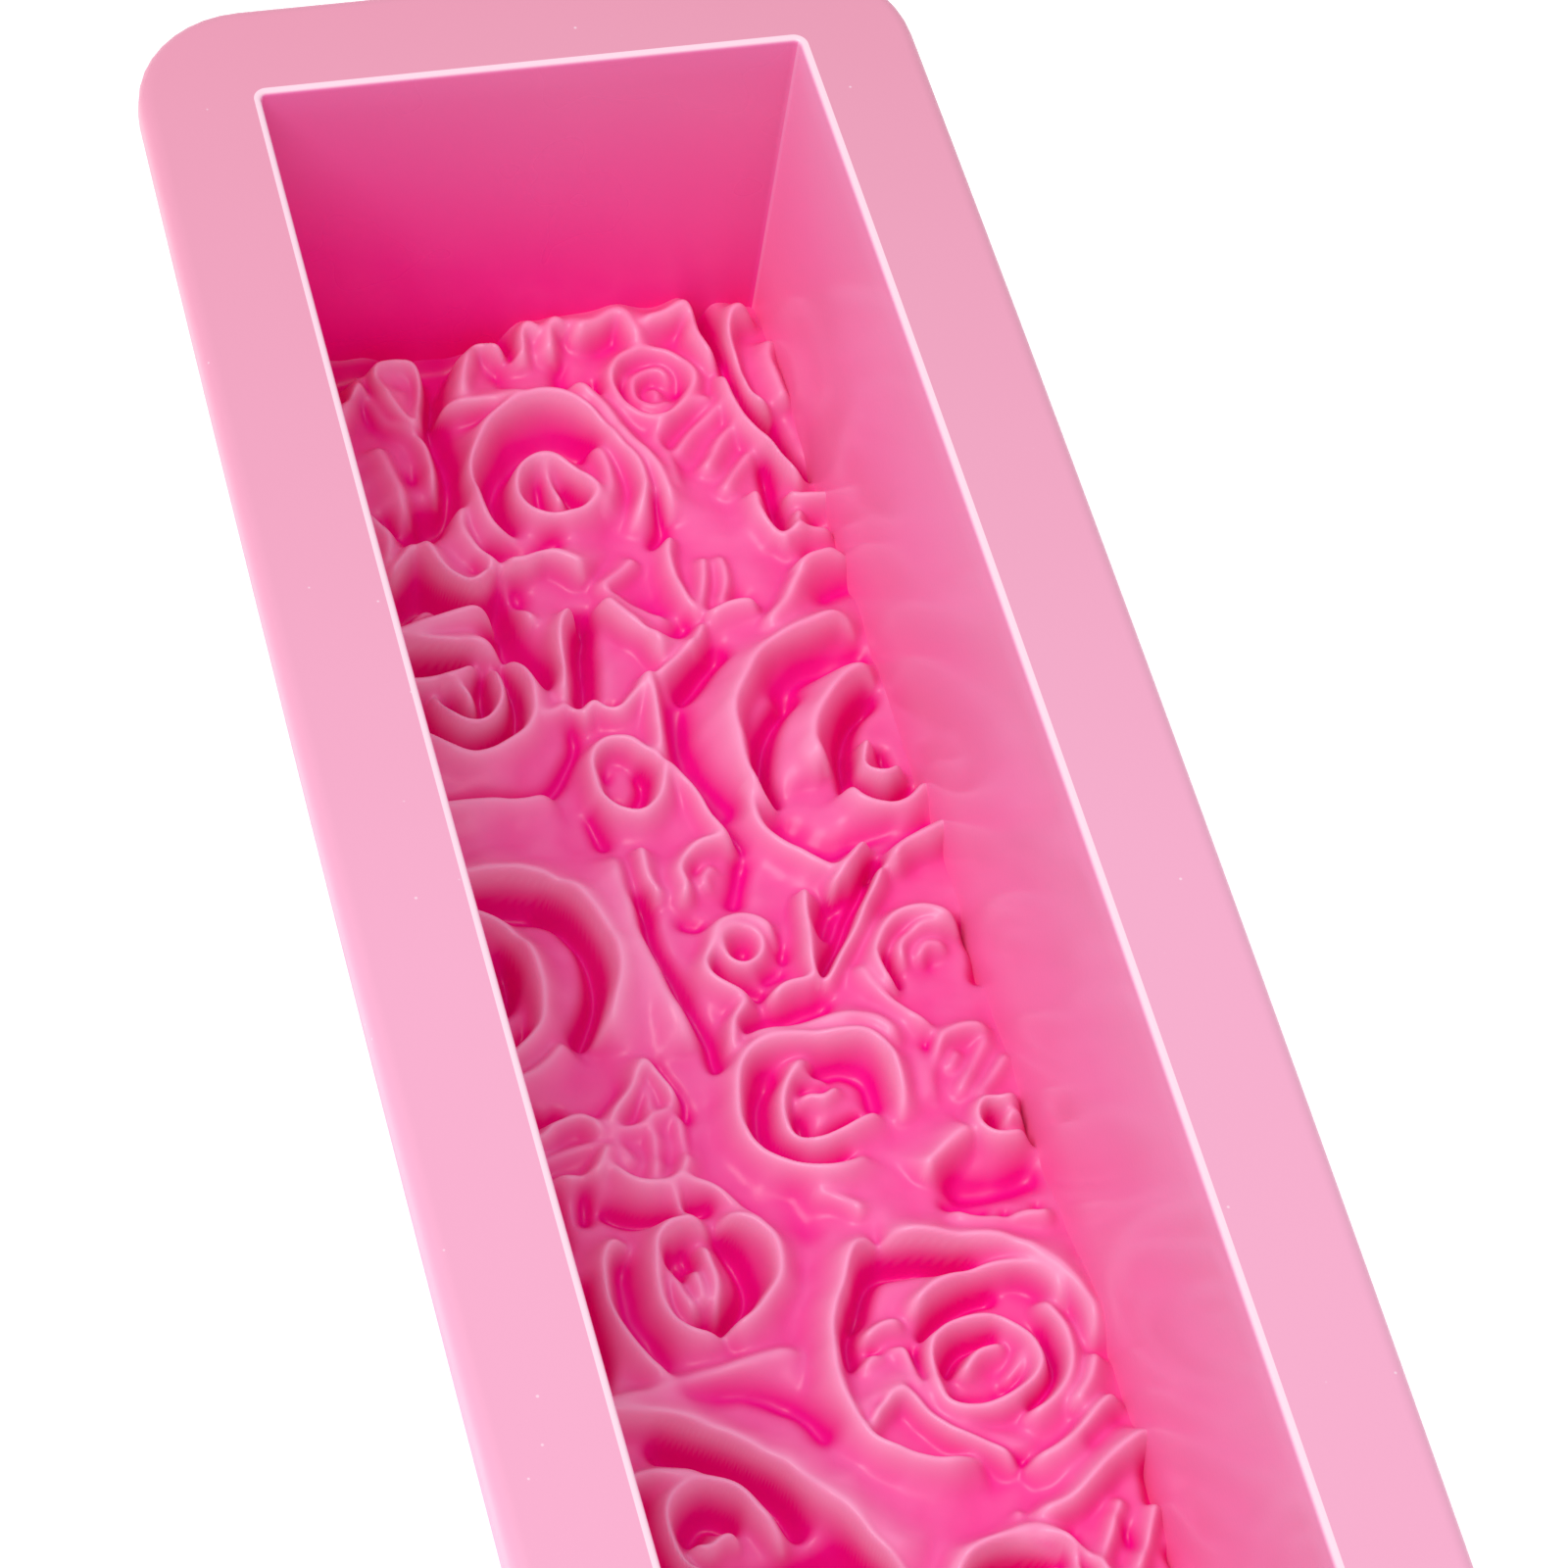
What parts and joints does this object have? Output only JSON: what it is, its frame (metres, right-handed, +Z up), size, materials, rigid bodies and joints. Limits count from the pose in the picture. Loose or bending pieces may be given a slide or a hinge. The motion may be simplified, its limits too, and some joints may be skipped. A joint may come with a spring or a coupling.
{
  "type": "soap loaf mould",
  "caption": "Flexible silicone loaf mould: a long trough with a flat flange round its mouth and a floor sculpted with roses and leaves, for casting soap, resin or wax bars.",
  "frame": {"origin": "middle of the flat underside that the mould stands on", "axes": "+Z up out of the mouth, +Y along the trough towards its far end, +X across it"},
  "size_m": [0.093, 0.278, 0.062],
  "materials": {
    "rim_silicone": "satin translucent pink silicone",
    "wall_silicone": "semi-gloss translucent pink silicone",
    "relief_silicone": "satin translucent pink silicone"
  },
  "bodies": {
    "root": {"blossom_centre": "relief_silicone", "blossom_far": "relief_silicone", "blossom_right": "relief_silicone", "bud_centre": "relief_silicone", "bud_far_left": "relief_silicone", "bud_tulip": "relief_silicone", "floor_slab": "relief_silicone", "leaf_beside_far_rose": "relief_silicone", "leaf_between_near": "relief_silicone", "leaf_end_centre": "relief_silicone", "leaf_end_left": "relief_silicone", "leaf_end_near": "relief_silicone", "leaf_far_left": "relief_silicone", "leaf_far_right": "relief_silicone", "leaf_left_end": "relief_silicone", "leaf_pair_upper": "relief_silicone", "leaf_right_low": "relief_silicone", "leaf_right_middle": "relief_silicone", "leaf_right_near": "relief_silicone", "leaf_small_point": "relief_silicone", "leaf_veined_far": "relief_silicone", "leaf_veined_left": "relief_silicone", "leaf_wall_far": "relief_silicone", "leaf_wall_left": "relief_silicone", "leaf_wall_middle": "relief_silicone", "leaf_wall_near": "relief_silicone", "ribbon_centre": "relief_silicone", "ribbon_near": "relief_silicone", "rim_far": "rim_silicone", "rim_left": "rim_silicone", "rim_near": "rim_silicone", "rim_right": "rim_silicone", "rose_centre": "relief_silicone", "rose_far": "relief_silicone", "rose_left_centre": "relief_silicone", "rose_left_end": "relief_silicone", "rose_left_far": "relief_silicone", "rose_left_middle": "relief_silicone", "rose_left_near": "relief_silicone", "rose_near": "relief_silicone", "rose_right_centre": "relief_silicone", "rose_right_end": "relief_silicone", "rose_right_far": "relief_silicone", "rose_right_near": "relief_silicone", "small_rose_far": "relief_silicone", "small_rose_near": "relief_silicone", "small_rose_right": "relief_silicone", "wall_far": "wall_silicone", "wall_left": "wall_silicone", "wall_near": "wall_silicone", "wall_right": "wall_silicone"}
  },
  "joints": []
}
